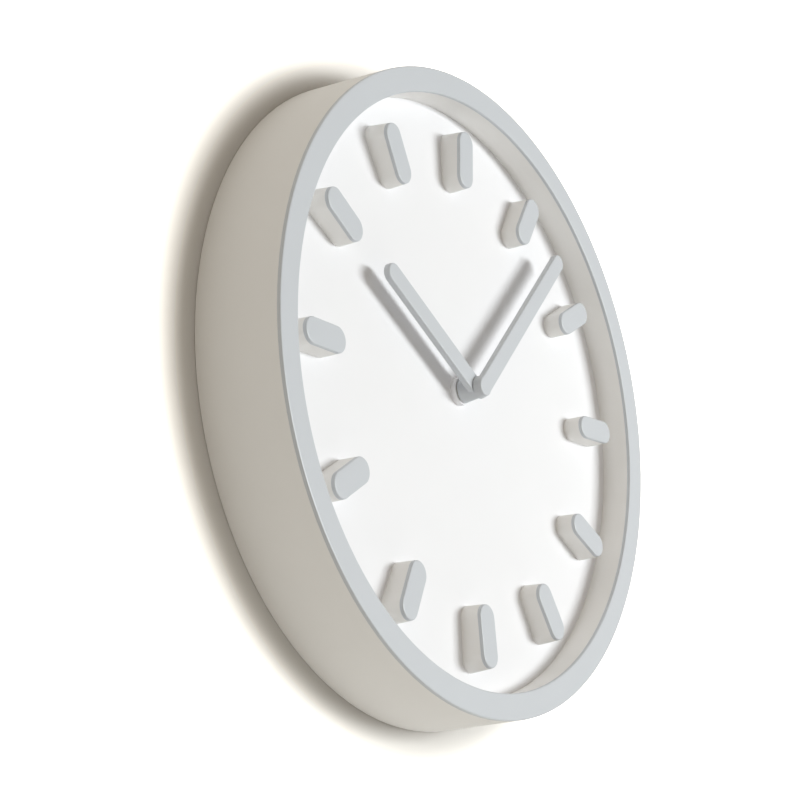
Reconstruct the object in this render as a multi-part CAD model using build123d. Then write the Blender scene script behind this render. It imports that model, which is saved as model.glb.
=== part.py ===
from build123d import *
import math
import os

# Round wall clock, 360 mm across.
# The origin is the centre of the back plane, which lies on the wall.
# Heights run from the wall towards the viewer, who looks along +Y with +X to the right and +Z up.

# Drum shaped case
case_depth = 49.65
case_back_radius = 180.0
outer_wall_draft = 2.74
rim_width = 14.04
inner_wall_draft = 2.13
dial_depth = 20.17
outer_wall = 2.8
inner_wall = 2.5
front_web = 3.4
stiffener_count = 18
stiffener_thickness = 1.6
case_front_radius = case_back_radius - outer_wall_draft
opening_front_radius = case_front_radius - rim_width
opening_dial_radius = opening_front_radius + inner_wall_draft

# Grey rim on the front of the case
rim_thickness = 2.0
rim_inner_drop = 0.71
rim_round = 0.73
tongue_width = 1.6
tongue_depth = 1.2
tongue_radius = case_front_radius - rim_width / 2
tongue_clearance = 0.1

# Dial disc
dial_thickness = 3.0
dial_edge_gap = 0.5
collar_radius = 7.9
collar_height = 3.6
collar_recess_radius = 6.7
spindle_hole_radius = 4.3

# Hour markers
marker_count = 12
marker_edge_gap = 15.25
marker_width = 13.75
marker_length = 33.05
marker_top_depth = 7.34
marker_tilt = 2.9
marker_outer_foot = 1.9
marker_inner_foot = 0.3
marker_circle_radius = opening_dial_radius - marker_edge_gap - marker_length / 2
marker_wall = 2.0
cap_thickness = 2.0
cap_round = 0.73
cap_peg_radius = 1.2
cap_peg_length = 1.0
cap_peg_clearance = 0.05
stake_spacing = 13.0
stake_post_radius = 2.2
stake_radius = 1.4
stake_clearance = 0.1
stake_head_radius = 2.4
stake_head_height = 0.9

# Hands
hand_thickness = 3.5
hand_round = 0.8
hour_hand_width = 10.5
hour_hand_gap = 23.25
hour_hand_depth = 6.63
hour_hand_angle = -58.4
hour_hub_front_radius = 5.5
hour_hub_back_radius = 7.0
minute_hand_width = 10.1
minute_hand_overlap = 2.42
minute_hand_depth = 1.76
minute_hand_angle = 43.76
minute_hub_front_radius = 5.2
minute_hub_back_radius = 6.35
hub_gap = 0.35
hour_hand_length = marker_circle_radius - marker_length / 2 - hour_hand_gap
minute_hand_length = marker_circle_radius + minute_hand_overlap

# Screws that hold the dial in the case
dial_screw_count = 6
dial_screw_radius = 1.4
dial_screw_head_radius = 2.75
dial_screw_head_height = 1.6
dial_screw_length = 12.0
dial_screw_recess_radius = 0.6
dial_screw_recess_depth = 0.9
screw_clearance = 0.05
screw_hole_clearance = 0.3
boss_radius = 2.9

# Hanger
hanger_width = 44.0
hanger_height = 22.0
hanger_corner = 3.0
hanger_thickness = 1.5
hanger_wall_gap = 2.4
hanger_drop = 15.35
hanger_z = opening_dial_radius - hanger_drop
keyhole_radius = 4.5
keyhole_slot_radius = 2.3
keyhole_rise = 5.5
hanger_screw_spacing = 32.0
hanger_screw_radius = 1.4
hanger_screw_head_radius = 2.75
hanger_screw_head_height = 1.2
hanger_screw_length = 10.0
hanger_post_radius = 4.0
hanger_post_rib_length = 14.0
hanger_post_rib_thickness = 1.6

# Movement case
movement_size = 56.0
movement_corner = 3.0
movement_depth = 16.0
movement_wall = 1.5
movement_split = 8.0
battery_bay_height = 14.6
partition_thickness = 1.0
partition_end_gap = 0.8
partition_back_gap = 0.4
post_radius = 2.2
post_x = 23.6
post_top_z = 24.0
post_low_z = -7.5
movement_screw_radius = 1.0
movement_screw_head_radius = 1.9
movement_screw_head_height = 1.2
movement_screw_length = 11.5
movement_screw_recess_depth = 0.7
movement_screw_recess_radius = 0.5

# Spindle stack
washer_thickness = 1.0
washer_radius = 9.0
washer_clearance = 0.2
bush_radius = 4.0
bush_flange_radius = 6.0
bush_flange_thickness = 0.7
bush_tip_drop = 0.1
nut_across_flats = 11.0
nut_height = 2.2
thread_clearance = 0.05
running_clearance = 0.06
pipe_radius = 2.5
pipe_tip_drop = 0.5
pipe_flange_radius = 3.3
pipe_flange_height = 1.3
arbor_radius = 1.5
arbor_tip_drop = 1.5
axial_play = 0.3

# Wheel train
pinion_teeth = 8
cannon_teeth = 14
reverse_teeth = 42
reverse_pinion_teeth = 12
hour_teeth = 48
centre_teeth = 64
third_teeth = 60
fourth_teeth = 48
intermediate_teeth = 40
cannon_module = 0.43
centre_module = 0.32
train_module = 0.3
mesh_clearance = 0.04
tooth_root_share = 0.23
tooth_tip_share = 0.10
addendum_share = 0.8
dedendum_share = 1.1
wheel_thickness = 0.6
pinion_length = 1.4
wheel_step = 1.2
small_arbor_radius = 0.5
bearing_clearance = 0.05
bearing_depth = 0.9
pivot_radius = 0.75
end_play = 0.1
cannon_length = 1.2
hour_wheel_thickness = 0.7
motion_step = 1.2
reverse_shaft_radius = 1.2
third_angle = 50.0
fourth_angle = 130.0
intermediate_angle = 180.0
rotor_angle = 235.0
reverse_angle = 180.0
spoke_hole_count = 5
spoke_hole_share = 0.22
spoke_circle_share = 0.6

# Setting knob
knob_radius = 6.0
knob_height = 2.6
knob_gap = 0.3
knob_flute_count = 18
knob_flute_radius = 0.5

# Step motor
magnet_radius = 1.8
magnet_bore_radius = 0.8
magnet_height = 1.4
magnet_step = 0.1
stator_thickness = 1.4
stator_air_gap = 0.4
stator_ring_radius = 4.6
stator_arm_width = 2.6
stator_leg_x = -16.4
stator_span = 19.0
coil_x = -22.0
coil_core_width = 2.0
bobbin_clearance = 0.05
bobbin_radius = 1.9
bobbin_flange_radius = 3.7
bobbin_flange_thickness = 0.8
winding_radius = 3.4
stator_post_radius = 1.2

# Circuit board
board_width = 15.9
board_height = 25.0
board_thickness = 1.0
board_z = 8.0
board_stand = 1.0
board_pad_radius = 1.5
chip_radius = 3.2
chip_height = 1.2
crystal_radius = 1.0
crystal_length = 6.0
crystal_clearance = 0.05

# Battery and contacts
battery_radius = 7.1
battery_length = 50.2
battery_nub_radius = 2.6
battery_nub_length = 1.2
battery_front_gap = 0.55
contact_thickness = 0.4
contact_width = 10.0
contact_length = 12.0
contact_tab_width = 2.7
contact_tab_z = -2.0
leaf_width = 8.0
leaf_run = 5.0
leaf_touch_gap = 0.05
strip_gap = 0.2

# Heights from the wall, worked out from the sizes above
full_turn = 360.0
dial_top = case_depth - dial_depth
dial_back = dial_top - dial_thickness
rim_bottom = case_depth - rim_thickness
marker_top = case_depth - marker_top_depth
cap_bottom = marker_top - cap_thickness
marker_head = marker_top + marker_length * math.sin(math.radians(marker_tilt))
collar_top = dial_top + collar_height
hour_front = case_depth - hour_hand_depth
hour_back = hour_front - hand_thickness
hour_hub_bottom = collar_top + hub_gap
minute_front = case_depth - minute_hand_depth
minute_back = minute_front - hand_thickness
minute_hub_bottom = hour_front + hub_gap
movement_top = dial_back - washer_thickness
movement_bottom = movement_top - movement_depth
movement_seam = movement_bottom + movement_split
inside_top = movement_top - movement_wall
inside_bottom = movement_bottom + movement_wall
inside_half = movement_size / 2 - movement_wall
bay_top_z = battery_bay_height - inside_half
bush_top = collar_top - bush_tip_drop
pipe_top = hour_front - pipe_tip_drop
arbor_top = minute_front - arbor_tip_drop
hour_wheel_top = inside_top - axial_play
hour_wheel_bottom = hour_wheel_top - pipe_flange_height + axial_play
cannon_top = hour_wheel_bottom - axial_play - end_play
cannon_bottom = cannon_top - cannon_length
centre_wheel_top = cannon_bottom - motion_step
third_wheel_top = centre_wheel_top - wheel_step
fourth_wheel_top = third_wheel_top - wheel_step
intermediate_wheel_top = fourth_wheel_top - wheel_step
rotor_pinion_top = intermediate_wheel_top + wheel_thickness / 2
magnet_bottom = rotor_pinion_top + magnet_step
hanger_back = hanger_wall_gap
hanger_front = hanger_back + hanger_thickness
screw_circle_inner = opening_dial_radius + inner_wall
screw_circle_outer = case_back_radius - outer_wall_draft * dial_top / case_depth - outer_wall
screw_circle_radius = (screw_circle_inner + screw_circle_outer) / 2
battery_height = inside_top - battery_front_gap - battery_radius
battery_z = bay_top_z - battery_bay_height / 2


def outer_radius(height):
    return case_back_radius - (case_back_radius - case_front_radius) * height / case_depth


def inner_radius(height):
    rise = (height - dial_top) / (case_depth - dial_top)
    return opening_dial_radius - (opening_dial_radius - opening_front_radius) * rise


def slab(outline, bottom, top):
    return extrude(Plane.XZ.offset(bottom) * outline, top - bottom)


def disc(radius, bottom, top, x=0, z=0):
    return slab(Pos(x, z) * Circle(radius), bottom, top)


def block(left, right, low, high, bottom, top):
    width = right - left
    height = high - low
    return slab(Pos((left + right) / 2, (low + high) / 2) * Rectangle(width, height), bottom, top)


def turned(points):
    outline = [(radius, -height) for radius, height in points]
    return revolve(Polygon(*outline, align=None), Axis.Y)


def around(count, start=0):
    return [start + full_turn * index / count for index in range(count)]


def on_clock(angle, radius, outline):
    return Rot(0, 0, -angle) * Pos(0, radius) * outline


def polar(x, z, angle, distance):
    turn = math.radians(angle)
    return x + distance * math.cos(turn), z + distance * math.sin(turn)


def round_front(shape, radius):
    front = shape.faces().sort_by(Axis.Y)[0]
    return fillet(front.edges(), radius)


# Grooved, ribbed drum. Two drafted walls meet at the front web and the back is open.
def case_ring():
    web_outer = outer_radius(rim_bottom)
    web_inner = inner_radius(rim_bottom - rim_inner_drop)
    web_back = rim_bottom - rim_inner_drop - front_web
    inside_foot = opening_dial_radius + inner_wall
    inside_head = inner_radius(web_back) + inner_wall
    outside_head = outer_radius(web_back) - outer_wall
    outside_foot = outer_radius(dial_top) - outer_wall
    shell = turned([
        (case_back_radius, 0),
        (web_outer, rim_bottom),
        (web_inner, rim_bottom - rim_inner_drop),
        (opening_dial_radius, dial_top),
        (inside_foot, dial_top),
        (inside_head, web_back),
        (outside_head, web_back),
        (case_back_radius - outer_wall, 0),
    ])
    cavity = turned([
        (inside_foot, dial_top),
        (inside_head, web_back),
        (outside_head, web_back),
        (outside_foot, dial_top),
    ])
    wall_length = outside_foot - inside_head
    middle = (outside_foot + inside_head) / 2
    fillers = [
        slab(on_clock(angle, middle, Rectangle(stiffener_thickness, wall_length)), dial_top, web_back)
        for angle in around(stiffener_count)
    ]
    bosses = [
        slab(on_clock(angle, screw_circle_radius, Circle(boss_radius)), dial_top, web_back)
        for angle in around(dial_screw_count)
    ]
    groove_half = tongue_width / 2 + tongue_clearance
    groove_floor = rim_bottom - rim_inner_drop - tongue_depth - tongue_clearance
    groove = turned([
        (tongue_radius - groove_half, groove_floor),
        (tongue_radius + groove_half, groove_floor),
        (tongue_radius + groove_half, rim_bottom + rim_thickness),
        (tongue_radius - groove_half, rim_bottom + rim_thickness),
    ])
    filler = fillers[0].fuse(*fillers[1:], *bosses)
    case = shell + (filler & cavity) - groove
    pilots = [
        slab(on_clock(angle, screw_circle_radius, Circle(dial_screw_radius + screw_clearance)),
             dial_top, dial_back + dial_screw_length + screw_hole_clearance)
        for angle in around(dial_screw_count)
    ]
    return case - pilots


# Front face of the case, 2 mm deep, with a tongue that registers it in the groove
def rim_ring():
    half = tongue_width / 2
    slope = rim_inner_drop / (case_front_radius - opening_front_radius)
    web_outer = outer_radius(rim_bottom)
    web_inner = inner_radius(rim_bottom - rim_inner_drop)
    tongue_right = rim_bottom - (web_outer - tongue_radius - half) * slope
    tongue_left = rim_bottom - (web_outer - tongue_radius + half) * slope
    tongue_floor = rim_bottom - rim_inner_drop - tongue_depth
    ring = turned([
        (case_front_radius, case_depth),
        (web_outer, rim_bottom),
        (tongue_radius + half, tongue_right),
        (tongue_radius + half, tongue_floor),
        (tongue_radius - half, tongue_floor),
        (tongue_radius - half, tongue_left),
        (web_inner, rim_bottom - rim_inner_drop),
        (opening_front_radius, case_depth - rim_inner_drop),
    ])
    front_edges = [
        edge for edge in ring.edges().filter_by(GeomType.CIRCLE)
        if -edge.arc_center.Y > case_depth - rim_inner_drop - tongue_clearance
    ]
    return fillet(front_edges, rim_round)


# Dial disc with the collar round the spindle and two posts for the hanger behind
def dial_plate():
    radius = outer_radius(dial_top) - outer_wall - dial_edge_gap
    plate = disc(radius, dial_back, dial_top)
    plate += disc(collar_radius, dial_top, collar_top)
    plate -= disc(collar_recess_radius, dial_top, collar_top)
    plate -= disc(spindle_hole_radius, dial_back, dial_top)
    for side in (-1, 1):
        x = side * hanger_screw_spacing / 2
        rib_end = hanger_z + hanger_post_rib_length / 2
        rib_start = hanger_z - hanger_post_rib_length / 2
        rib_half = hanger_post_rib_thickness / 2
        plate += disc(hanger_post_radius, hanger_front, dial_back, x, hanger_z)
        plate += block(x - rib_half, x + rib_half, rib_start, rib_end,
                       hanger_front + hanger_screw_length, dial_back)
        plate -= disc(hanger_screw_radius + screw_clearance, hanger_front,
                      hanger_back + hanger_screw_length + screw_hole_clearance, x, hanger_z)
    holes = []
    for angle in around(dial_screw_count):
        holes.append(slab(on_clock(angle, screw_circle_radius,
                                   Circle(dial_screw_radius + screw_hole_clearance)), dial_back, dial_top))
    for angle in around(marker_count):
        for side in (-1, 1):
            holes.append(slab(on_clock(angle, marker_circle_radius + side * stake_spacing / 2,
                                       Circle(stake_radius + stake_clearance)), dial_back, dial_top))
    return plate - holes


# Marker in full height. Its ends slope down to the dial and its long sides are upright.
def marker_body():
    foot_length = marker_length + marker_outer_foot + marker_inner_foot
    foot_shift = (marker_outer_foot - marker_inner_foot) / 2
    foot = Pos(0, foot_shift) * SlotOverall(foot_length, marker_width, rotation=90)
    head = SlotOverall(marker_length, marker_width, rotation=90)
    return loft([Plane.XZ.offset(dial_top) * foot, Plane.XZ.offset(marker_head) * head], ruled=True)


# Everything in front of the plane that leans with the marker's face and crosses the given height
def above_lean(height):
    reach = 2 * marker_length
    front = Box(reach, reach, reach, align=(Align.CENTER, Align.MAX, Align.CENTER))
    return Pos(0, -height, 0) * Rot(marker_tilt, 0, 0) * front


# White blocks, cored from behind, each with two posts staked through the dial
def hour_markers():
    inside = SlotOverall(marker_length - 2 * marker_wall, marker_width - 2 * marker_wall, rotation=90)
    marker = marker_body() - above_lean(cap_bottom) - slab(inside, dial_top, cap_bottom - marker_wall)
    for side in (-1, 1):
        z = side * stake_spacing / 2
        marker += disc(stake_post_radius, dial_top, cap_bottom - marker_wall, 0, z)
        marker += disc(stake_radius, dial_back, dial_top, 0, z)
        marker += disc(stake_head_radius, dial_back - stake_head_height, dial_back, 0, z)
        marker -= disc(cap_peg_radius + cap_peg_clearance,
                       cap_bottom - cap_peg_length - cap_peg_clearance, marker_top, 0, z)
    return [spun(marker, angle, marker_circle_radius) for angle in around(marker_count)]


def spun(shape, angle, radius):
    return Rot(0, angle, 0) * Pos(0, 0, radius) * shape


# Grey faces that lean towards the centre like the rim, each held by two pegs
def marker_caps():
    cap = (marker_body() & above_lean(cap_bottom)) - above_lean(marker_top)
    cap = round_front(cap, cap_round)
    for side in (-1, 1):
        cap += disc(cap_peg_radius, cap_bottom - cap_peg_length, cap_bottom + cap_thickness / 2,
                    0, side * stake_spacing / 2)
    return [spun(cap, angle, marker_circle_radius) for angle in around(marker_count)]


def hand_blade(width, length, bottom, top):
    middle = (length - width / 2) / 2
    outline = Pos(0, middle) * SlotOverall(length + width / 2, width, rotation=90)
    return round_front(slab(outline, bottom, top), hand_round)


def hub(front_radius, back_radius, bottom, top):
    cone = turned([(0, bottom), (back_radius, bottom), (front_radius, top), (0, top)])
    return round_front(cone, hand_round)


# The hour hand is pressed on the pipe of the hour wheel
def hour_hand():
    hand = hand_blade(hour_hand_width, hour_hand_length, hour_back, hour_front)
    hand += hub(hour_hub_front_radius, hour_hub_back_radius, hour_hub_bottom, hour_front)
    hand -= disc(pipe_radius, hour_hub_bottom, hour_front)
    return Rot(0, hour_hand_angle, 0) * hand


# The minute hand covers the end of the spindle, so its bore is blind
def minute_hand():
    hand = hand_blade(minute_hand_width, minute_hand_length, minute_back, minute_front)
    hand += hub(minute_hub_front_radius, minute_hub_back_radius, minute_hub_bottom, minute_front)
    hand -= disc(arbor_radius, minute_hub_bottom, arbor_top)
    return Rot(0, minute_hand_angle, 0) * hand


# Screw that points to the viewer, its head behind the piece that it holds
def screw(radius, length, head_radius, head_height, recess_radius, recess_depth, seat):
    body = disc(head_radius, seat - head_height, seat) + disc(radius, seat, seat + length)
    bar = Rectangle(2 * head_radius - recess_radius, recess_radius)
    cross = bar + Rot(0, 0, full_turn / 4) * bar
    cross = cross & Circle(head_radius - recess_radius)
    return body - slab(cross, seat - head_height, seat - head_height + recess_depth)


def dial_screws():
    one = screw(dial_screw_radius, dial_screw_length, dial_screw_head_radius, dial_screw_head_height,
                dial_screw_recess_radius, dial_screw_recess_depth, dial_back)
    return [spun(one, angle, screw_circle_radius) for angle in around(dial_screw_count)]


def hanger_screws():
    one = screw(hanger_screw_radius, hanger_screw_length, hanger_screw_head_radius,
                hanger_screw_head_height, dial_screw_recess_radius,
                hanger_screw_head_height / 2, hanger_back)
    return [Pos(side * hanger_screw_spacing / 2, 0, hanger_z) * one for side in (-1, 1)]


def movement_posts():
    return [(side * post_x, z) for side in (-1, 1) for z in (post_low_z, post_top_z)]


def movement_screws():
    one = screw(movement_screw_radius, movement_screw_length, movement_screw_head_radius,
                movement_screw_head_height, movement_screw_recess_radius,
                movement_screw_recess_depth, movement_bottom)
    return [Pos(x, 0, z) * one for x, z in movement_posts()]


# Steel plate with a keyhole for the screw in the wall
def hanger_plate():
    outline = RectangleRounded(hanger_width, hanger_height, hanger_corner)
    plate = slab(Pos(0, hanger_z) * outline, hanger_back, hanger_front)
    plate -= disc(keyhole_radius, hanger_back, hanger_front, 0, hanger_z - keyhole_slot_radius)
    top = hanger_z - keyhole_slot_radius + keyhole_rise
    plate -= disc(keyhole_slot_radius, hanger_back, hanger_front, 0, top)
    plate -= block(-keyhole_slot_radius, keyhole_slot_radius, hanger_z - keyhole_slot_radius, top,
                   hanger_back, hanger_front)
    for side in (-1, 1):
        plate -= disc(hanger_screw_radius + screw_clearance, hanger_back, hanger_front,
                      side * hanger_screw_spacing / 2, hanger_z)
    return plate


# Centres of the arbors in the wheel train
def train_centres():
    third = polar(0, 0, third_angle, mesh_distance(pinion_teeth, centre_teeth, centre_module))
    fourth = polar(*third, fourth_angle, mesh_distance(pinion_teeth, third_teeth, train_module))
    intermediate = polar(*fourth, intermediate_angle, mesh_distance(pinion_teeth, fourth_teeth, train_module))
    rotor = polar(*intermediate, rotor_angle, mesh_distance(pinion_teeth, intermediate_teeth, train_module))
    reverse = polar(0, 0, reverse_angle, mesh_distance(cannon_teeth, reverse_teeth, cannon_module))
    return third, fourth, intermediate, rotor, reverse


def mesh_distance(first_teeth, second_teeth, module):
    return (first_teeth + second_teeth) * module / 2 + mesh_clearance


def gear_outline(teeth, module, first_tooth):
    pitch = teeth * module / 2
    tip = pitch + addendum_share * module
    root = pitch - dedendum_share * module
    step = full_turn / teeth
    points = []
    for index in range(teeth):
        middle = first_tooth + index * step
        points.append(polar(0, 0, middle - tooth_root_share * step, root))
        points.append(polar(0, 0, middle - tooth_tip_share * step, tip))
        points.append(polar(0, 0, middle + tooth_tip_share * step, tip))
        points.append(polar(0, 0, middle + tooth_root_share * step, root))
    return Polygon(*points, align=None)


def gear(teeth, module, first_tooth, bottom, top, x=0, z=0):
    return slab(Pos(x, z) * gear_outline(teeth, module, first_tooth), bottom, top)


def spokes(teeth, module, bottom, top, x=0, z=0):
    pitch = teeth * module / 2
    holes = []
    for angle in around(spoke_hole_count):
        hole_x, hole_z = polar(x, z, angle, pitch * spoke_circle_share)
        holes.append(disc(pitch * spoke_hole_share, bottom, top, hole_x, hole_z))
    return holes


def gap_phase(teeth, towards):
    return towards + full_turn / teeth / 2


def small_arbor(x, z):
    return disc(small_arbor_radius, inside_bottom - bearing_depth + end_play,
                inside_top + bearing_depth - end_play, x, z)


def bearing_holes(bottom, top):
    third, fourth, intermediate, rotor, reverse = train_centres()
    radius = small_arbor_radius + bearing_clearance
    return [disc(radius, bottom, top, x, z) for x, z in (third, fourth, intermediate, rotor)]


# Front half of the movement case, with the partition above the battery
def movement_front_case():
    outside = RectangleRounded(movement_size, movement_size, movement_corner)
    inside = Rectangle(2 * inside_half, 2 * inside_half)
    case = slab(outside, movement_seam, movement_top) - slab(inside, movement_seam, inside_top)
    partition_half = inside_half - partition_end_gap
    case += block(-partition_half, partition_half, bay_top_z, bay_top_z + partition_thickness,
                  inside_bottom + partition_back_gap, inside_top)
    for x, z in movement_posts():
        case += disc(post_radius, movement_seam, inside_top, x, z)
        case -= disc(movement_screw_radius + screw_clearance, movement_seam,
                     movement_bottom + movement_screw_length + screw_hole_clearance, x, z)
    case -= disc(bush_radius, inside_top, movement_top)
    case -= disc(bush_flange_radius, inside_top, inside_top + bush_flange_thickness)
    third, fourth, intermediate, rotor, reverse = train_centres()
    case -= disc(pivot_radius + bearing_clearance, inside_top, inside_top + bearing_depth, *reverse)
    return case - bearing_holes(inside_top, inside_top + bearing_depth)


# Rear half of the movement case, open behind the battery
def movement_rear_case():
    outside = RectangleRounded(movement_size, movement_size, movement_corner)
    inside = Rectangle(2 * inside_half, 2 * inside_half)
    case = slab(outside, movement_bottom, movement_seam) - slab(inside, inside_bottom, movement_seam)
    case -= block(-inside_half, inside_half, -inside_half, bay_top_z, movement_bottom, inside_bottom)
    for x, z in movement_posts():
        case += disc(post_radius, inside_bottom, movement_seam, x, z)
        case -= disc(movement_screw_radius + screw_clearance, movement_bottom, movement_seam, x, z)
    third, fourth, intermediate, rotor, reverse = train_centres()
    case -= disc(pivot_radius + bearing_clearance, inside_bottom - bearing_depth, inside_bottom)
    case -= disc(reverse_shaft_radius + running_clearance, movement_bottom, inside_bottom, *reverse)
    for z in stator_ends():
        case += disc(stator_post_radius, inside_bottom, magnet_bottom, stator_leg_x, z)
    for x, z in board_pads():
        case += disc(board_pad_radius, inside_bottom, inside_bottom + board_stand, x, z)
    return case - bearing_holes(inside_bottom - bearing_depth, inside_bottom)


# Threaded bush moulded into the front of the movement
def threaded_bush():
    bush = disc(bush_radius, inside_top, bush_top)
    bush += disc(bush_flange_radius, inside_top, inside_top + bush_flange_thickness)
    return bush - disc(pipe_radius + running_clearance, inside_top, bush_top)


def bush_nut():
    nut = slab(RegularPolygon(nut_across_flats / 2, 6, major_radius=False), dial_top, dial_top + nut_height)
    return nut - disc(bush_radius + thread_clearance, dial_top, dial_top + nut_height)


def rubber_washer():
    washer = disc(washer_radius, movement_top, dial_back)
    return washer - disc(bush_radius + washer_clearance, movement_top, dial_back)


# Wheel with the long pipe that carries the hour hand
def hour_wheel():
    reverse_module = 2 * (mesh_distance(cannon_teeth, reverse_teeth, cannon_module) - mesh_clearance)
    reverse_module = reverse_module / (reverse_pinion_teeth + hour_teeth)
    wheel = gear(hour_teeth, reverse_module, reverse_angle, hour_wheel_bottom,
                 hour_wheel_bottom + hour_wheel_thickness)
    wheel -= spokes(hour_teeth, reverse_module, hour_wheel_bottom, hour_wheel_bottom + hour_wheel_thickness)
    wheel += disc(pipe_flange_radius, hour_wheel_bottom, hour_wheel_top)
    wheel += disc(pipe_radius, hour_wheel_bottom, pipe_top)
    return wheel - disc(arbor_radius + running_clearance, hour_wheel_bottom, pipe_top)


# Long spindle with the centre wheel and the cannon pinion
def minute_wheel():
    wheel = gear(centre_teeth, centre_module, third_angle, centre_wheel_top - wheel_thickness, centre_wheel_top)
    wheel -= spokes(centre_teeth, centre_module, centre_wheel_top - wheel_thickness, centre_wheel_top)
    wheel += gear(cannon_teeth, cannon_module, reverse_angle, cannon_bottom, cannon_top)
    wheel += disc(arbor_radius, inside_bottom + axial_play, arbor_top)
    return wheel + disc(pivot_radius, inside_bottom - bearing_depth + end_play, inside_bottom + axial_play)


# Minute wheel of the motion work, on the shaft that the knob turns
def reverse_wheel():
    third, fourth, intermediate, rotor, reverse = train_centres()
    reverse_module = 2 * (mesh_distance(cannon_teeth, reverse_teeth, cannon_module) - mesh_clearance)
    reverse_module = reverse_module / (reverse_pinion_teeth + hour_teeth)
    towards = reverse_angle + full_turn / 2
    margin = (cannon_length - wheel_thickness) / 2
    wheel = gear(reverse_teeth, cannon_module, gap_phase(reverse_teeth, towards),
                 cannon_bottom + margin, cannon_top - margin)
    wheel -= spokes(reverse_teeth, cannon_module, cannon_bottom + margin, cannon_top - margin)
    wheel += gear(reverse_pinion_teeth, reverse_module, gap_phase(reverse_pinion_teeth, towards),
                  cannon_top - margin, hour_wheel_bottom + hour_wheel_thickness + end_play)
    wheel += disc(reverse_shaft_radius, movement_bottom - knob_gap - knob_height + wheel_thickness,
                  cannon_bottom + margin)
    wheel += disc(pivot_radius, hour_wheel_bottom, inside_top + bearing_depth - end_play)
    return Pos(reverse[0], 0, reverse[1]) * wheel


def setting_knob():
    third, fourth, intermediate, rotor, reverse = train_centres()
    top = movement_bottom - knob_gap
    knob = disc(knob_radius, top - knob_height, top)
    flutes = [
        slab(on_clock(angle, knob_radius, Circle(knob_flute_radius)), top - knob_height, top)
        for angle in around(knob_flute_count)
    ]
    knob -= flutes
    knob -= disc(reverse_shaft_radius, top - knob_height + wheel_thickness, top)
    return Pos(reverse[0], 0, reverse[1]) * knob


# A wheel of the train on its arbor. The pinion in front of the wheel drives the next wheel.
def train_wheel(centre, teeth, wheel_towards, wheel_top, pinion_module, pinion_towards):
    x, z = centre
    wheel = gear(teeth, train_module, wheel_towards, wheel_top - wheel_thickness, wheel_top, x, z)
    wheel -= spokes(teeth, train_module, wheel_top - wheel_thickness, wheel_top, x, z)
    wheel += gear(pinion_teeth, pinion_module, gap_phase(pinion_teeth, pinion_towards),
                  wheel_top, wheel_top + pinion_length, x, z)
    return wheel + small_arbor(x, z)


def third_wheel():
    third, fourth, intermediate, rotor, reverse = train_centres()
    return train_wheel(third, third_teeth, fourth_angle, third_wheel_top,
                       centre_module, third_angle + full_turn / 2)


def fourth_wheel():
    third, fourth, intermediate, rotor, reverse = train_centres()
    return train_wheel(fourth, fourth_teeth, intermediate_angle, fourth_wheel_top,
                       train_module, fourth_angle + full_turn / 2)


def intermediate_wheel():
    third, fourth, intermediate, rotor, reverse = train_centres()
    return train_wheel(intermediate, intermediate_teeth, rotor_angle, intermediate_wheel_top,
                       train_module, intermediate_angle + full_turn / 2)


def rotor_pinion():
    third, fourth, intermediate, rotor, reverse = train_centres()
    towards = rotor_angle + full_turn / 2
    bottom = rotor_pinion_top - pinion_length + wheel_thickness / 3
    phase = gap_phase(pinion_teeth, towards)
    pinion = gear(pinion_teeth, train_module, phase, bottom, rotor_pinion_top, *rotor)
    pinion += disc(magnet_bore_radius, rotor_pinion_top, magnet_bottom + magnet_height, *rotor)
    return pinion + small_arbor(*rotor)


def rotor_magnet():
    third, fourth, intermediate, rotor, reverse = train_centres()
    magnet = disc(magnet_radius, magnet_bottom, magnet_bottom + magnet_height, *rotor)
    return magnet - disc(magnet_bore_radius, magnet_bottom, magnet_bottom + magnet_height, *rotor)


def stator_ends():
    third, fourth, intermediate, rotor, reverse = train_centres()
    half = stator_span / 2
    return rotor[1] - half, rotor[1] + half


# Soft iron frame round the rotor, closed through the core of the coil
def stator():
    third, fourth, intermediate, rotor, reverse = train_centres()
    bottom = magnet_bottom
    top = magnet_bottom + stator_thickness
    low, high = stator_ends()
    half = stator_arm_width / 2
    frame = disc(stator_ring_radius, bottom, top, *rotor)
    frame += block(stator_leg_x - half, rotor[0], rotor[1] - stator_arm_width, rotor[1] + stator_arm_width,
                   bottom, top)
    frame += block(stator_leg_x - half, stator_leg_x + half, low - half, high + half, bottom, top)
    for z in (low, high):
        frame += block(coil_x - coil_core_width / 2, stator_leg_x, z - half, z + half, bottom, top)
    frame += block(coil_x - coil_core_width / 2, coil_x + coil_core_width / 2, low, high, bottom, top)
    return frame - disc(magnet_radius + stator_air_gap, bottom, top, *rotor)


def coil_ends():
    low, high = stator_ends()
    half = stator_arm_width / 2
    return low + half + bobbin_clearance, high - half - bobbin_clearance


def along_coil(radius, low, high):
    height = magnet_bottom + stator_thickness / 2
    return Pos(coil_x, -height, (low + high) / 2) * Cylinder(radius, high - low)


def coil_bobbin():
    low, high = coil_ends()
    bobbin = along_coil(bobbin_radius, low, high)
    bobbin += along_coil(bobbin_flange_radius, low, low + bobbin_flange_thickness)
    bobbin += along_coil(bobbin_flange_radius, high - bobbin_flange_thickness, high)
    half = coil_core_width / 2 + bobbin_clearance
    return bobbin - block(coil_x - half, coil_x + half, low, high,
                          magnet_bottom - bobbin_clearance, magnet_bottom + stator_thickness + bobbin_clearance)


def coil_winding():
    low, high = coil_ends()
    low = low + bobbin_flange_thickness
    high = high - bobbin_flange_thickness
    return along_coil(winding_radius, low, high) - along_coil(bobbin_radius, low, high)


def board_span():
    right = inside_half - contact_thickness
    return right - board_width, right


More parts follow.
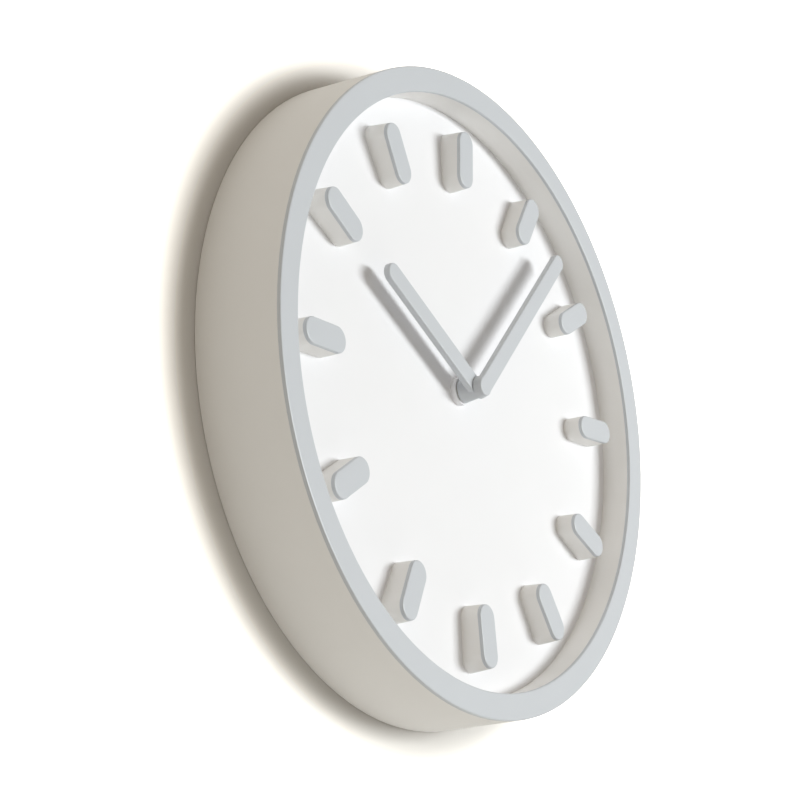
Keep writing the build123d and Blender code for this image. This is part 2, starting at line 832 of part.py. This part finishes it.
def board_pads():
    left, right = board_span()
    inset = 2 * board_pad_radius
    low = board_z - board_height / 2
    high = board_z + board_height / 2
    return (left + inset, low + inset), (right - inset, high - inset), (left + inset, high - inset)


def circuit_board():
    left, right = board_span()
    bottom = inside_bottom + board_stand
    return block(left, right, board_z - board_height / 2, board_z + board_height / 2,
                 bottom, bottom + board_thickness)


# Black drop of resin over the chip
def controller_chip():
    left, right = board_span()
    bottom = inside_bottom + board_stand + board_thickness
    return disc(chip_radius, bottom, bottom + chip_height, (left + right) / 2, board_z)


def quartz_crystal():
    left, right = board_span()
    height = inside_bottom + board_stand + board_thickness + crystal_radius
    z = board_z - board_height / 4 - crystal_clearance
    rod = Pos((left + right) / 2, -height, z) * Rot(0, 90, 0) * Cylinder(crystal_radius, crystal_length)
    return rod


def contact_heights():
    return battery_height - contact_width / 2, battery_height + contact_width / 2


def positive_contact():
    bottom, top = contact_heights()
    left = inside_half - contact_thickness
    low = battery_z - contact_length / 2
    contact = block(left, inside_half, low, bay_top_z, bottom, top)
    return contact + block(left, inside_half, bay_top_z, contact_tab_z, bottom, bottom + contact_tab_width)


# Spring leaf that pushes the battery, with a strip that runs to the board
def negative_contact():
    bottom, top = contact_heights()
    left = -inside_half
    right = left + contact_thickness
    low = battery_z - contact_length / 2
    contact = block(left, right, low, bay_top_z, bottom, top)
    tip = inside_half - contact_thickness - battery_length - leaf_touch_gap
    leaf = Polygon((left, battery_z - leaf_run), (tip - contact_thickness, battery_z),
                   (left, battery_z + leaf_run), (right, battery_z + leaf_run),
                   (tip, battery_z), (right, battery_z - leaf_run), align=None)
    contact += slab(leaf, battery_height - leaf_width / 2, battery_height + leaf_width / 2)
    strip_low = bay_top_z + partition_thickness + strip_gap
    board_left, board_right = board_span()
    tab_top = bottom + contact_tab_width
    contact += block(left, right, bay_top_z, strip_low + contact_thickness, bottom, tab_top)
    contact += block(left, board_left + contact_width / 2, strip_low, strip_low + contact_thickness,
                     bottom, tab_top)
    return contact + block(board_left + contact_width / 2 - contact_thickness, board_left + contact_width / 2,
                           strip_low, board_z - board_height / 2, bottom, tab_top)


def battery():
    right = inside_half - contact_thickness
    left = right - battery_length
    body_length = battery_length - battery_nub_length
    turn = Rot(0, 90, 0)
    body = Pos(left + body_length / 2, -battery_height, battery_z) * turn * Cylinder(battery_radius, body_length)
    nub_x = right - battery_nub_length / 2
    nub = Pos(nub_x, -battery_height, battery_z) * turn * Cylinder(battery_nub_radius, battery_nub_length)
    return body + nub


makers = [
    case_ring, rim_ring, dial_plate, hour_markers, marker_caps, hour_hand, minute_hand,
    dial_screws, hanger_plate, hanger_screws, movement_front_case, movement_rear_case,
    movement_screws, threaded_bush, bush_nut, rubber_washer, hour_wheel, minute_wheel,
    reverse_wheel, setting_knob, third_wheel, fourth_wheel, intermediate_wheel,
    rotor_pinion, rotor_magnet, stator, coil_bobbin, coil_winding, circuit_board,
    controller_chip, quartz_crystal, positive_contact, negative_contact, battery,
]

os.makedirs("parts", exist_ok=True)
for maker in makers:
    piece = maker()
    if isinstance(piece, list):
        piece = Compound(children=piece)
    piece.label = maker.__name__
    export_step(piece, os.path.join("parts", maker.__name__ + ".step"))
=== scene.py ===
import math

import bpy
from mathutils import Matrix, Vector


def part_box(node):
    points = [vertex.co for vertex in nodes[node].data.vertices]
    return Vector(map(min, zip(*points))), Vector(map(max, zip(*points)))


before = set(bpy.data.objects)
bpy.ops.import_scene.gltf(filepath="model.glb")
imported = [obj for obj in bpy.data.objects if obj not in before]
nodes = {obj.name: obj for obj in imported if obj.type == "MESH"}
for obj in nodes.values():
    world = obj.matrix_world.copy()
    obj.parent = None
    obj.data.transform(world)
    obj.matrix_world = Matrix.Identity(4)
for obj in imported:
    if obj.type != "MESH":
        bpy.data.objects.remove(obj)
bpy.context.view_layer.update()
scene = bpy.context.scene

# Camera: axes and place in metres, lens and image centre in pixels
IMAGE_SIDE = 800.0
FOCAL_LENGTH = 1607.0034
CENTRE_ROW = 353.734
HALF_PIXEL = 0.5
SENSOR_WIDTH = 36.0
CAMERA_RIGHT = Vector((0.577205, -0.815924, -0.033207))
CAMERA_DOWN = Vector((0.206626, 0.185273, -0.960718))
CAMERA_VIEW = Vector((0.790025, 0.547670, 0.275532))
CAMERA_PLACE = Vector((-0.717723, -0.489657, -0.221643))
CLIP_NEAR = 0.01
CLIP_FAR = 50.0

# Material detail: noise sizes per metre, bump depths in metres
CLOUD_SCALE = 9.0
GLOSS_SCALE = 60.0
METAL_GLOSS_SCALE = 150.0
MOULD_GRAIN = 1800.0
MOULD_DEPTH = 0.00002
MOULD_STRENGTH = 0.35
STREAK_GRAIN = 900.0
STREAK_DEPTH = 0.00001
STREAK_STRENGTH = 0.4
RAMP_LOW = 0.3
RAMP_HIGH = 0.7

# Each look: its pieces, its darker and lighter colour and the range of its roughness
PLASTICS = (
    dict(name="drum_white", pieces=("case_ring", "hour_markers"),
         dark=(0.875, 0.868, 0.852), light=(0.895, 0.888, 0.872), rough=(0.55, 0.66), ior=1.45),
    dict(name="dial_white", pieces=("dial_plate",),
         dark=(0.874, 0.876, 0.898), light=(0.888, 0.890, 0.912), rough=(0.62, 0.74)),
    dict(name="front_grey", pieces=("rim_ring", "marker_caps", "hour_hand", "minute_hand"),
         dark=(0.560, 0.587, 0.620), light=(0.575, 0.602, 0.635), rough=(0.31, 0.38),
         grain=2400.0, ior=1.58),
    dict(name="movement_black", pieces=("movement_front_case", "movement_rear_case", "setting_knob"),
         dark=(0.016, 0.016, 0.018), light=(0.028, 0.028, 0.030), rough=(0.42, 0.60),
         grain=1500.0, depth=0.00004),
    dict(name="wheel_plastic",
         pieces=("hour_wheel", "reverse_wheel", "third_wheel", "fourth_wheel", "intermediate_wheel",
                 "rotor_pinion", "coil_bobbin"),
         dark=(0.72, 0.71, 0.66), light=(0.80, 0.79, 0.74), rough=(0.35, 0.5)),
    dict(name="black_rubber", pieces=("rubber_washer",),
         dark=(0.012, 0.012, 0.012), light=(0.022, 0.022, 0.022), rough=(0.7, 0.85),
         grain=900.0, depth=0.00003),
    dict(name="ground_magnet", pieces=("rotor_magnet",),
         dark=(0.05, 0.05, 0.055), light=(0.09, 0.09, 0.095), rough=(0.3, 0.45)),
    dict(name="board_green", pieces=("circuit_board",),
         dark=(0.010, 0.085, 0.035), light=(0.020, 0.130, 0.055), rough=(0.25, 0.4)),
    dict(name="poured_resin", pieces=("controller_chip",),
         dark=(0.008, 0.008, 0.008), light=(0.016, 0.016, 0.016), rough=(0.15, 0.3),
         grain=300.0, depth=0.0001),
)
METALS = (
    dict(name="zinc_plate", pieces=("dial_screws", "hanger_screws", "movement_screws"),
         dark=(0.52, 0.52, 0.53), light=(0.66, 0.66, 0.66), rough=(0.28, 0.45)),
    dict(name="zinc_sheet", pieces=("hanger_plate",),
         dark=(0.50, 0.51, 0.52), light=(0.64, 0.64, 0.65), rough=(0.30, 0.46), stretch=(0.15, 1.0, 1.0)),
    dict(name="turned_brass", pieces=("threaded_bush", "bush_nut", "minute_wheel"),
         dark=(0.62, 0.46, 0.20), light=(0.78, 0.60, 0.30), rough=(0.22, 0.38), stretch=(1.0, 6.0, 1.0)),
    dict(name="stamped_iron", pieces=("stator",),
         dark=(0.36, 0.36, 0.37), light=(0.50, 0.50, 0.50), rough=(0.35, 0.5)),
    dict(name="wound_copper", pieces=("coil_winding",),
         dark=(0.55, 0.22, 0.09), light=(0.74, 0.36, 0.16), rough=(0.25, 0.4), stretch=(1.0, 1.0, 14.0)),
    dict(name="drawn_can", pieces=("quartz_crystal",),
         dark=(0.66, 0.67, 0.68), light=(0.78, 0.78, 0.79), rough=(0.18, 0.3), stretch=(0.1, 1.0, 1.0)),
    dict(name="nickel_strip", pieces=("positive_contact", "negative_contact"),
         dark=(0.58, 0.56, 0.52), light=(0.72, 0.70, 0.66), rough=(0.2, 0.34), stretch=(1.0, 1.0, 0.1)),
)

# Bands of the cell's sleeve from its minus end: where each starts, its colour and how metallic it is
SLEEVE_BANDS = (
    (0.0, (0.55, 0.55, 0.55), 0.9),
    (0.02, (0.03, 0.034, 0.04), 0.0),
    (0.70, (0.60, 0.30, 0.13), 0.7),
    (0.955, (0.55, 0.55, 0.55), 0.9),
)
SLEEVE_ROUGHNESS = (0.22, 0.36)
SLEEVE_GLOSS_SCALE = 200.0
SLEEVE_GRAIN = 500.0

# Wall and floor in metres. The camera sees the wall lifted to white away from the drum. Near the drum's
# edge the lift falls below one, a painted shade ring that darkens and narrows the drum's shadow
WALL_TONES = ((0.780, 0.759, 0.730), (0.795, 0.774, 0.745))
BACKDROP_LIFT_AND_PAINTED_SHADE = (0.86, 2.10)
PAINTED_SHADE_RADII = (0.181, 0.211)
MIRRORED_SHARE = 0.2
WALL_Y = 0.0004
WALL_HALF = 2.5
WALL_SEGMENTS = 128
HOLE_RADIUS = 0.1785
WALL_CLOUD_SCALE = 3.0
FLOOR_TONES = ((0.80, 0.80, 0.79), (0.84, 0.84, 0.83))
FLOOR_ROUGHNESS = (0.5, 0.7)
FLOOR_CLOUD_SCALE = 4.0
FLOOR_GLOSS_SCALE = 30.0
FLOOR_Z = -2.0

# Lights: places and sizes in metres, level of the key as irradiance / pi on the dial
KEY_LEVEL = 0.69
KEY_PLACE = Vector((1.46, -3.0, 0.10))
KEY_SIZE = (1.9, 0.6)
KEY_COLOR = (0.965, 0.995, 1.0)
BACK_POWER = 22.0
BACK_PLACE = Vector((0.5, 2.2, 0.9))
BACK_SIZE = (1.6, 1.6)
BACK_COLOR = (1.0, 0.98, 0.95)
WORLD_COLOR = (1.0, 0.91, 0.78, 1.0)
WORLD_LEVELS = (0.07, 0.62)
WORLD_RISE = (-0.62, 0.0, 0.78)
WORLD_START = -0.2
PALE_BACKGROUND = (0.8, 0.8, 0.8, 1.0)


def set_camera():
    data = bpy.data.cameras.new("camera")
    camera = bpy.data.objects.new("camera", data)
    scene.collection.objects.link(camera)
    turn = Matrix((CAMERA_RIGHT, -CAMERA_DOWN, -CAMERA_VIEW)).transposed().to_4x4()
    camera.matrix_world = Matrix.Translation(CAMERA_PLACE) @ turn
    data.sensor_width = SENSOR_WIDTH
    data.lens = FOCAL_LENGTH * SENSOR_WIDTH / IMAGE_SIDE
    data.shift_x = -HALF_PIXEL / IMAGE_SIDE
    data.shift_y = (CENTRE_ROW + HALF_PIXEL - IMAGE_SIDE / 2) / IMAGE_SIDE
    data.clip_start = CLIP_NEAR
    data.clip_end = CLIP_FAR
    scene.camera = camera


# Small helpers for node materials
class Nodes:
    def __init__(self, name):
        self.material = bpy.data.materials.new(name)
        self.material.use_nodes = True
        self.tree = self.material.node_tree
        self.tree.nodes.clear()
        self.output = self.add("ShaderNodeOutputMaterial")

    def add(self, kind, **settings):
        node = self.tree.nodes.new(kind)
        for key, value in settings.items():
            setattr(node, key, value)
        return node

    def link(self, source, target):
        self.tree.links.new(source, target)

    def place(self):
        return self.add("ShaderNodeTexCoord").outputs["Object"]

    def noise(self, scale, detail=3.0, roughness=0.5, where=None):
        node = self.add("ShaderNodeTexNoise")
        node.inputs["Scale"].default_value = scale
        node.inputs["Detail"].default_value = detail
        node.inputs["Roughness"].default_value = roughness
        self.link(where or self.place(), node.inputs["Vector"])
        return node.outputs["Fac"]

    def ramp(self, value, first, second):
        node = self.add("ShaderNodeValToRGB")
        node.color_ramp.elements[0].position = RAMP_LOW
        node.color_ramp.elements[1].position = RAMP_HIGH
        node.color_ramp.elements[0].color = (*first, 1.0)
        node.color_ramp.elements[1].color = (*second, 1.0)
        self.link(value, node.inputs["Fac"])
        return node.outputs["Color"]

    def bands(self, value, starts, colors):
        node = self.add("ShaderNodeValToRGB")
        node.color_ramp.interpolation = "CONSTANT"
        elements = node.color_ramp.elements
        for index, (start, color) in enumerate(zip(starts, colors)):
            element = elements[index] if index < 2 else elements.new(start)
            element.position = start
            element.color = (*color, 1.0)
        self.link(value, node.inputs["Fac"])
        return node.outputs["Color"]

    def spread(self, value, ends, start=0.0, stop=1.0, smooth=False):
        node = self.add("ShaderNodeMapRange", interpolation_type="SMOOTHSTEP" if smooth else "LINEAR")
        node.inputs["From Min"].default_value = start
        node.inputs["From Max"].default_value = stop
        node.inputs["To Min"].default_value, node.inputs["To Max"].default_value = ends
        self.link(value, node.inputs["Value"])
        return node.outputs["Result"]

    def bump(self, value, distance, strength):
        node = self.add("ShaderNodeBump")
        node.inputs["Distance"].default_value = distance
        node.inputs["Strength"].default_value = strength
        self.link(value, node.inputs["Height"])
        return node.outputs["Normal"]

    def shade(self, color, roughness, normal=None, **values):
        node = self.add("ShaderNodeBsdfPrincipled")
        for key, value in values.items():
            node.inputs[key].default_value = value
        self.link(color, node.inputs["Base Color"])
        self.link(roughness, node.inputs["Roughness"])
        if normal:
            self.link(normal, node.inputs["Normal"])
        self.link(node.outputs["BSDF"], self.output.inputs["Surface"])
        return node


# Moulded plastic: faint cloudy colour, fine eroded texture and a satin gloss that varies a little
def plastic(name, dark, light, rough, grain=MOULD_GRAIN, depth=MOULD_DEPTH, ior=1.5):
    m = Nodes(name)
    color = m.ramp(m.noise(CLOUD_SCALE, detail=4.0), dark, light)
    gloss = m.spread(m.noise(GLOSS_SCALE, detail=4.0), rough)
    m.shade(color, gloss, m.bump(m.noise(grain, detail=2.0), depth, MOULD_STRENGTH), IOR=ior)
    return m.material


# Bare metal: streaks along the direction that stretch leaves long, in colour and in the surface
def metal(name, dark, light, rough, stretch=(1.0, 1.0, 1.0)):
    m = Nodes(name)
    mapping = m.add("ShaderNodeMapping")
    mapping.inputs["Scale"].default_value = stretch
    m.link(m.place(), mapping.inputs["Vector"])
    streak = m.noise(STREAK_GRAIN, roughness=0.6, where=mapping.outputs["Vector"])
    gloss = m.spread(m.noise(METAL_GLOSS_SCALE, detail=4.0), rough)
    normal = m.bump(streak, STREAK_DEPTH, STREAK_STRENGTH)
    m.shade(m.ramp(streak, dark, light), gloss, normal, Metallic=1.0)
    return m.material


# Printed sleeve of a plain cell: dark over most of its length, copper coloured at the plus end,
# with bare steel at both ends
def battery_sleeve():
    m = Nodes("battery_sleeve")
    split = m.add("ShaderNodeSeparateXYZ")
    m.link(m.place(), split.inputs["Vector"])
    low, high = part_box("battery")
    along = m.spread(split.outputs["X"], (0.0, 1.0), low.x, high.x)
    starts = [start for start, color, metallic in SLEEVE_BANDS]
    color = m.bands(along, starts, [color for start, color, metallic in SLEEVE_BANDS])
    metallic = m.bands(along, starts, [(metallic,) * 3 for start, color, metallic in SLEEVE_BANDS])
    gloss = m.spread(m.noise(SLEEVE_GLOSS_SCALE), SLEEVE_ROUGHNESS)
    normal = m.bump(m.noise(SLEEVE_GRAIN, detail=2.0), STREAK_DEPTH, STREAK_STRENGTH)
    shader = m.shade(color, gloss, normal)
    m.link(metallic, shader.inputs["Metallic"])
    return m.material


def wear(pieces, material):
    for name in pieces:
        piece = nodes[name]
        if not piece.material_slots:
            piece.data.materials.append(material)
        for slot in piece.material_slots:
            slot.material = material


def shade_materials():
    for kind, looks in ((plastic, PLASTICS), (metal, METALS)):
        for look in looks:
            values = dict(look)
            wear(values.pop("pieces"), kind(**values))
    wear(["battery"], battery_sleeve())


# Rays that see the pale background: the camera's own, and a share of those mirrored or let through
def background_ray(tree, share=1.0):
    path = tree.nodes.new("ShaderNodeLightPath")
    total = path.outputs["Is Camera Ray"]
    for name in ("Is Glossy Ray", "Is Transmission Ray"):
        either = tree.nodes.new("ShaderNodeMath")
        either.operation = "MULTIPLY_ADD"
        either.use_clamp = True
        tree.links.new(path.outputs[name], either.inputs[0])
        either.inputs[1].default_value = share
        tree.links.new(total, either.inputs[2])
        total = either.outputs["Value"]
    return total


# Seen from behind, the wall is clear, so that the back of the clock shows
def wall_material():
    m = Nodes("wall_white")
    tone = m.ramp(m.noise(WALL_CLOUD_SCALE), *WALL_TONES)
    # Painted shade: for the camera the wall's lift grows with distance from the centre, so a darker ring
    # lies round the drum's edge
    radius = m.add("ShaderNodeVectorMath", operation="LENGTH")
    m.link(m.place(), radius.inputs[0])
    lift_and_painted_shade = m.add("ShaderNodeVectorMath", operation="SCALE")
    m.link(tone, lift_and_painted_shade.inputs[0])
    m.link(m.spread(radius.outputs["Value"], BACKDROP_LIFT_AND_PAINTED_SHADE, *PAINTED_SHADE_RADII, smooth=True), lift_and_painted_shade.inputs["Scale"])
    lift = m.add("ShaderNodeMix", data_type="RGBA")
    plain, lifted_with_shade = [s for s in lift.inputs if s.type == "RGBA"]
    m.link(tone, plain)
    m.link(lift_and_painted_shade.outputs["Vector"], lifted_with_shade)
    m.link(background_ray(m.tree, MIRRORED_SHARE), lift.inputs["Factor"])
    diffuse = m.add("ShaderNodeBsdfDiffuse")
    m.link([s for s in lift.outputs if s.type == "RGBA"][0], diffuse.inputs["Color"])
    clear = m.add("ShaderNodeBsdfTransparent")
    behind = m.add("ShaderNodeMath", operation="MULTIPLY")
    m.link(m.add("ShaderNodeNewGeometry").outputs["Backfacing"], behind.inputs[0])
    m.link(m.add("ShaderNodeLightPath").outputs["Is Camera Ray"], behind.inputs[1])
    choose = m.add("ShaderNodeMixShader")
    m.link(behind.outputs["Value"], choose.inputs["Fac"])
    m.link(diffuse.outputs["BSDF"], choose.inputs[1])
    m.link(clear.outputs["BSDF"], choose.inputs[2])
    m.link(choose.outputs["Shader"], m.output.inputs["Surface"])
    return m.material


def stage_mesh(name, points, faces, material):
    mesh = bpy.data.meshes.new(name)
    mesh.from_pydata(points, [], faces)
    mesh.update()
    mesh.materials.append(material)
    piece = bpy.data.objects.new(name, mesh)
    scene.collection.objects.link(piece)
    return piece


# The wall has a round hole behind the drum, so that light reaches the open back
def build_wall():
    points = []
    for index in range(WALL_SEGMENTS):
        turn = 2 * math.pi * index / WALL_SEGMENTS
        x, z = math.cos(turn), math.sin(turn)
        points.append((HOLE_RADIUS * x, WALL_Y, HOLE_RADIUS * z))
        stretch = WALL_HALF / max(abs(x), abs(z))
        points.append((stretch * x, WALL_Y, stretch * z))
    faces = []
    for inner in range(0, 2 * WALL_SEGMENTS, 2):
        next_inner = (inner + 2) % (2 * WALL_SEGMENTS)
        faces.append((inner, inner + 1, next_inner + 1, next_inner))
    wall = stage_mesh("wall", points, faces, wall_material())
    if wall.data.polygons[0].normal.y > 0:
        wall.data.flip_normals()


def build_floor():
    m = Nodes("floor_pale")
    tone = m.ramp(m.noise(FLOOR_CLOUD_SCALE, detail=4.0), *FLOOR_TONES)
    m.shade(tone, m.spread(m.noise(FLOOR_GLOSS_SCALE), FLOOR_ROUGHNESS))
    front = -2 * WALL_HALF
    corners = [(-WALL_HALF, front), (WALL_HALF, front), (WALL_HALF, 0.0), (-WALL_HALF, 0.0)]
    floor = stage_mesh("floor", [(x, y, FLOOR_Z) for x, y in corners], [(0, 1, 2, 3)], m.material)


def lamp(name, place, direction, size, power, color):
    data = bpy.data.lights.new(name, "AREA")
    data.shape = "RECTANGLE"
    data.size, data.size_y = size
    data.energy = power
    data.color = color
    light = bpy.data.objects.new(name, data)
    scene.collection.objects.link(light)
    aim = direction.to_track_quat("-Z", "Y")
    light.matrix_world = Matrix.Translation(place) @ aim.to_matrix().to_4x4()


# Faint warm room, brighter above and on the left, in front of which the camera sees a pale background
def build_world():
    world = bpy.data.worlds.new("studio")
    scene.world = world
    world.use_nodes = True
    tree = world.node_tree
    tree.nodes.clear()
    rise = tree.nodes.new("ShaderNodeVectorMath")
    rise.operation = "DOT_PRODUCT"
    rise.inputs[1].default_value = WORLD_RISE
    tree.links.new(tree.nodes.new("ShaderNodeTexCoord").outputs["Generated"], rise.inputs[0])
    level = tree.nodes.new("ShaderNodeMapRange")
    level.inputs["From Min"].default_value = WORLD_START
    level.inputs["To Min"].default_value, level.inputs["To Max"].default_value = WORLD_LEVELS
    tree.links.new(rise.outputs["Value"], level.inputs["Value"])
    room = tree.nodes.new("ShaderNodeBackground")
    room.inputs["Color"].default_value = WORLD_COLOR
    tree.links.new(level.outputs["Result"], room.inputs["Strength"])
    pale = tree.nodes.new("ShaderNodeBackground")
    pale.inputs["Color"].default_value = PALE_BACKGROUND
    mix = tree.nodes.new("ShaderNodeMixShader")
    tree.links.new(background_ray(tree), mix.inputs["Fac"])
    tree.links.new(room.outputs["Background"], mix.inputs[1])
    tree.links.new(pale.outputs["Background"], mix.inputs[2])
    out = tree.nodes.new("ShaderNodeOutputWorld")
    tree.links.new(mix.outputs["Shader"], out.inputs["Surface"])


# A long softbox to the right of the clock, parallel to the wall, and a lamp for the back
def light_scene():
    # A lamp parallel to the wall gives irradiance / pi = power * cosine^2 / (pi^2 * reach^2) on the dial
    reach = KEY_PLACE.length
    cosine = -KEY_PLACE.y / reach
    power = KEY_LEVEL * math.pi ** 2 * reach ** 2 / cosine ** 2
    lamp("key", KEY_PLACE, Vector((0.0, 1.0, 0.0)), KEY_SIZE, power, KEY_COLOR)
    lamp("back_fill", BACK_PLACE, -BACK_PLACE, BACK_SIZE, BACK_POWER, BACK_COLOR)
    build_world()
    scene.view_settings.view_transform = "Standard"


set_camera()
shade_materials()
build_wall()
build_floor()
light_scene()
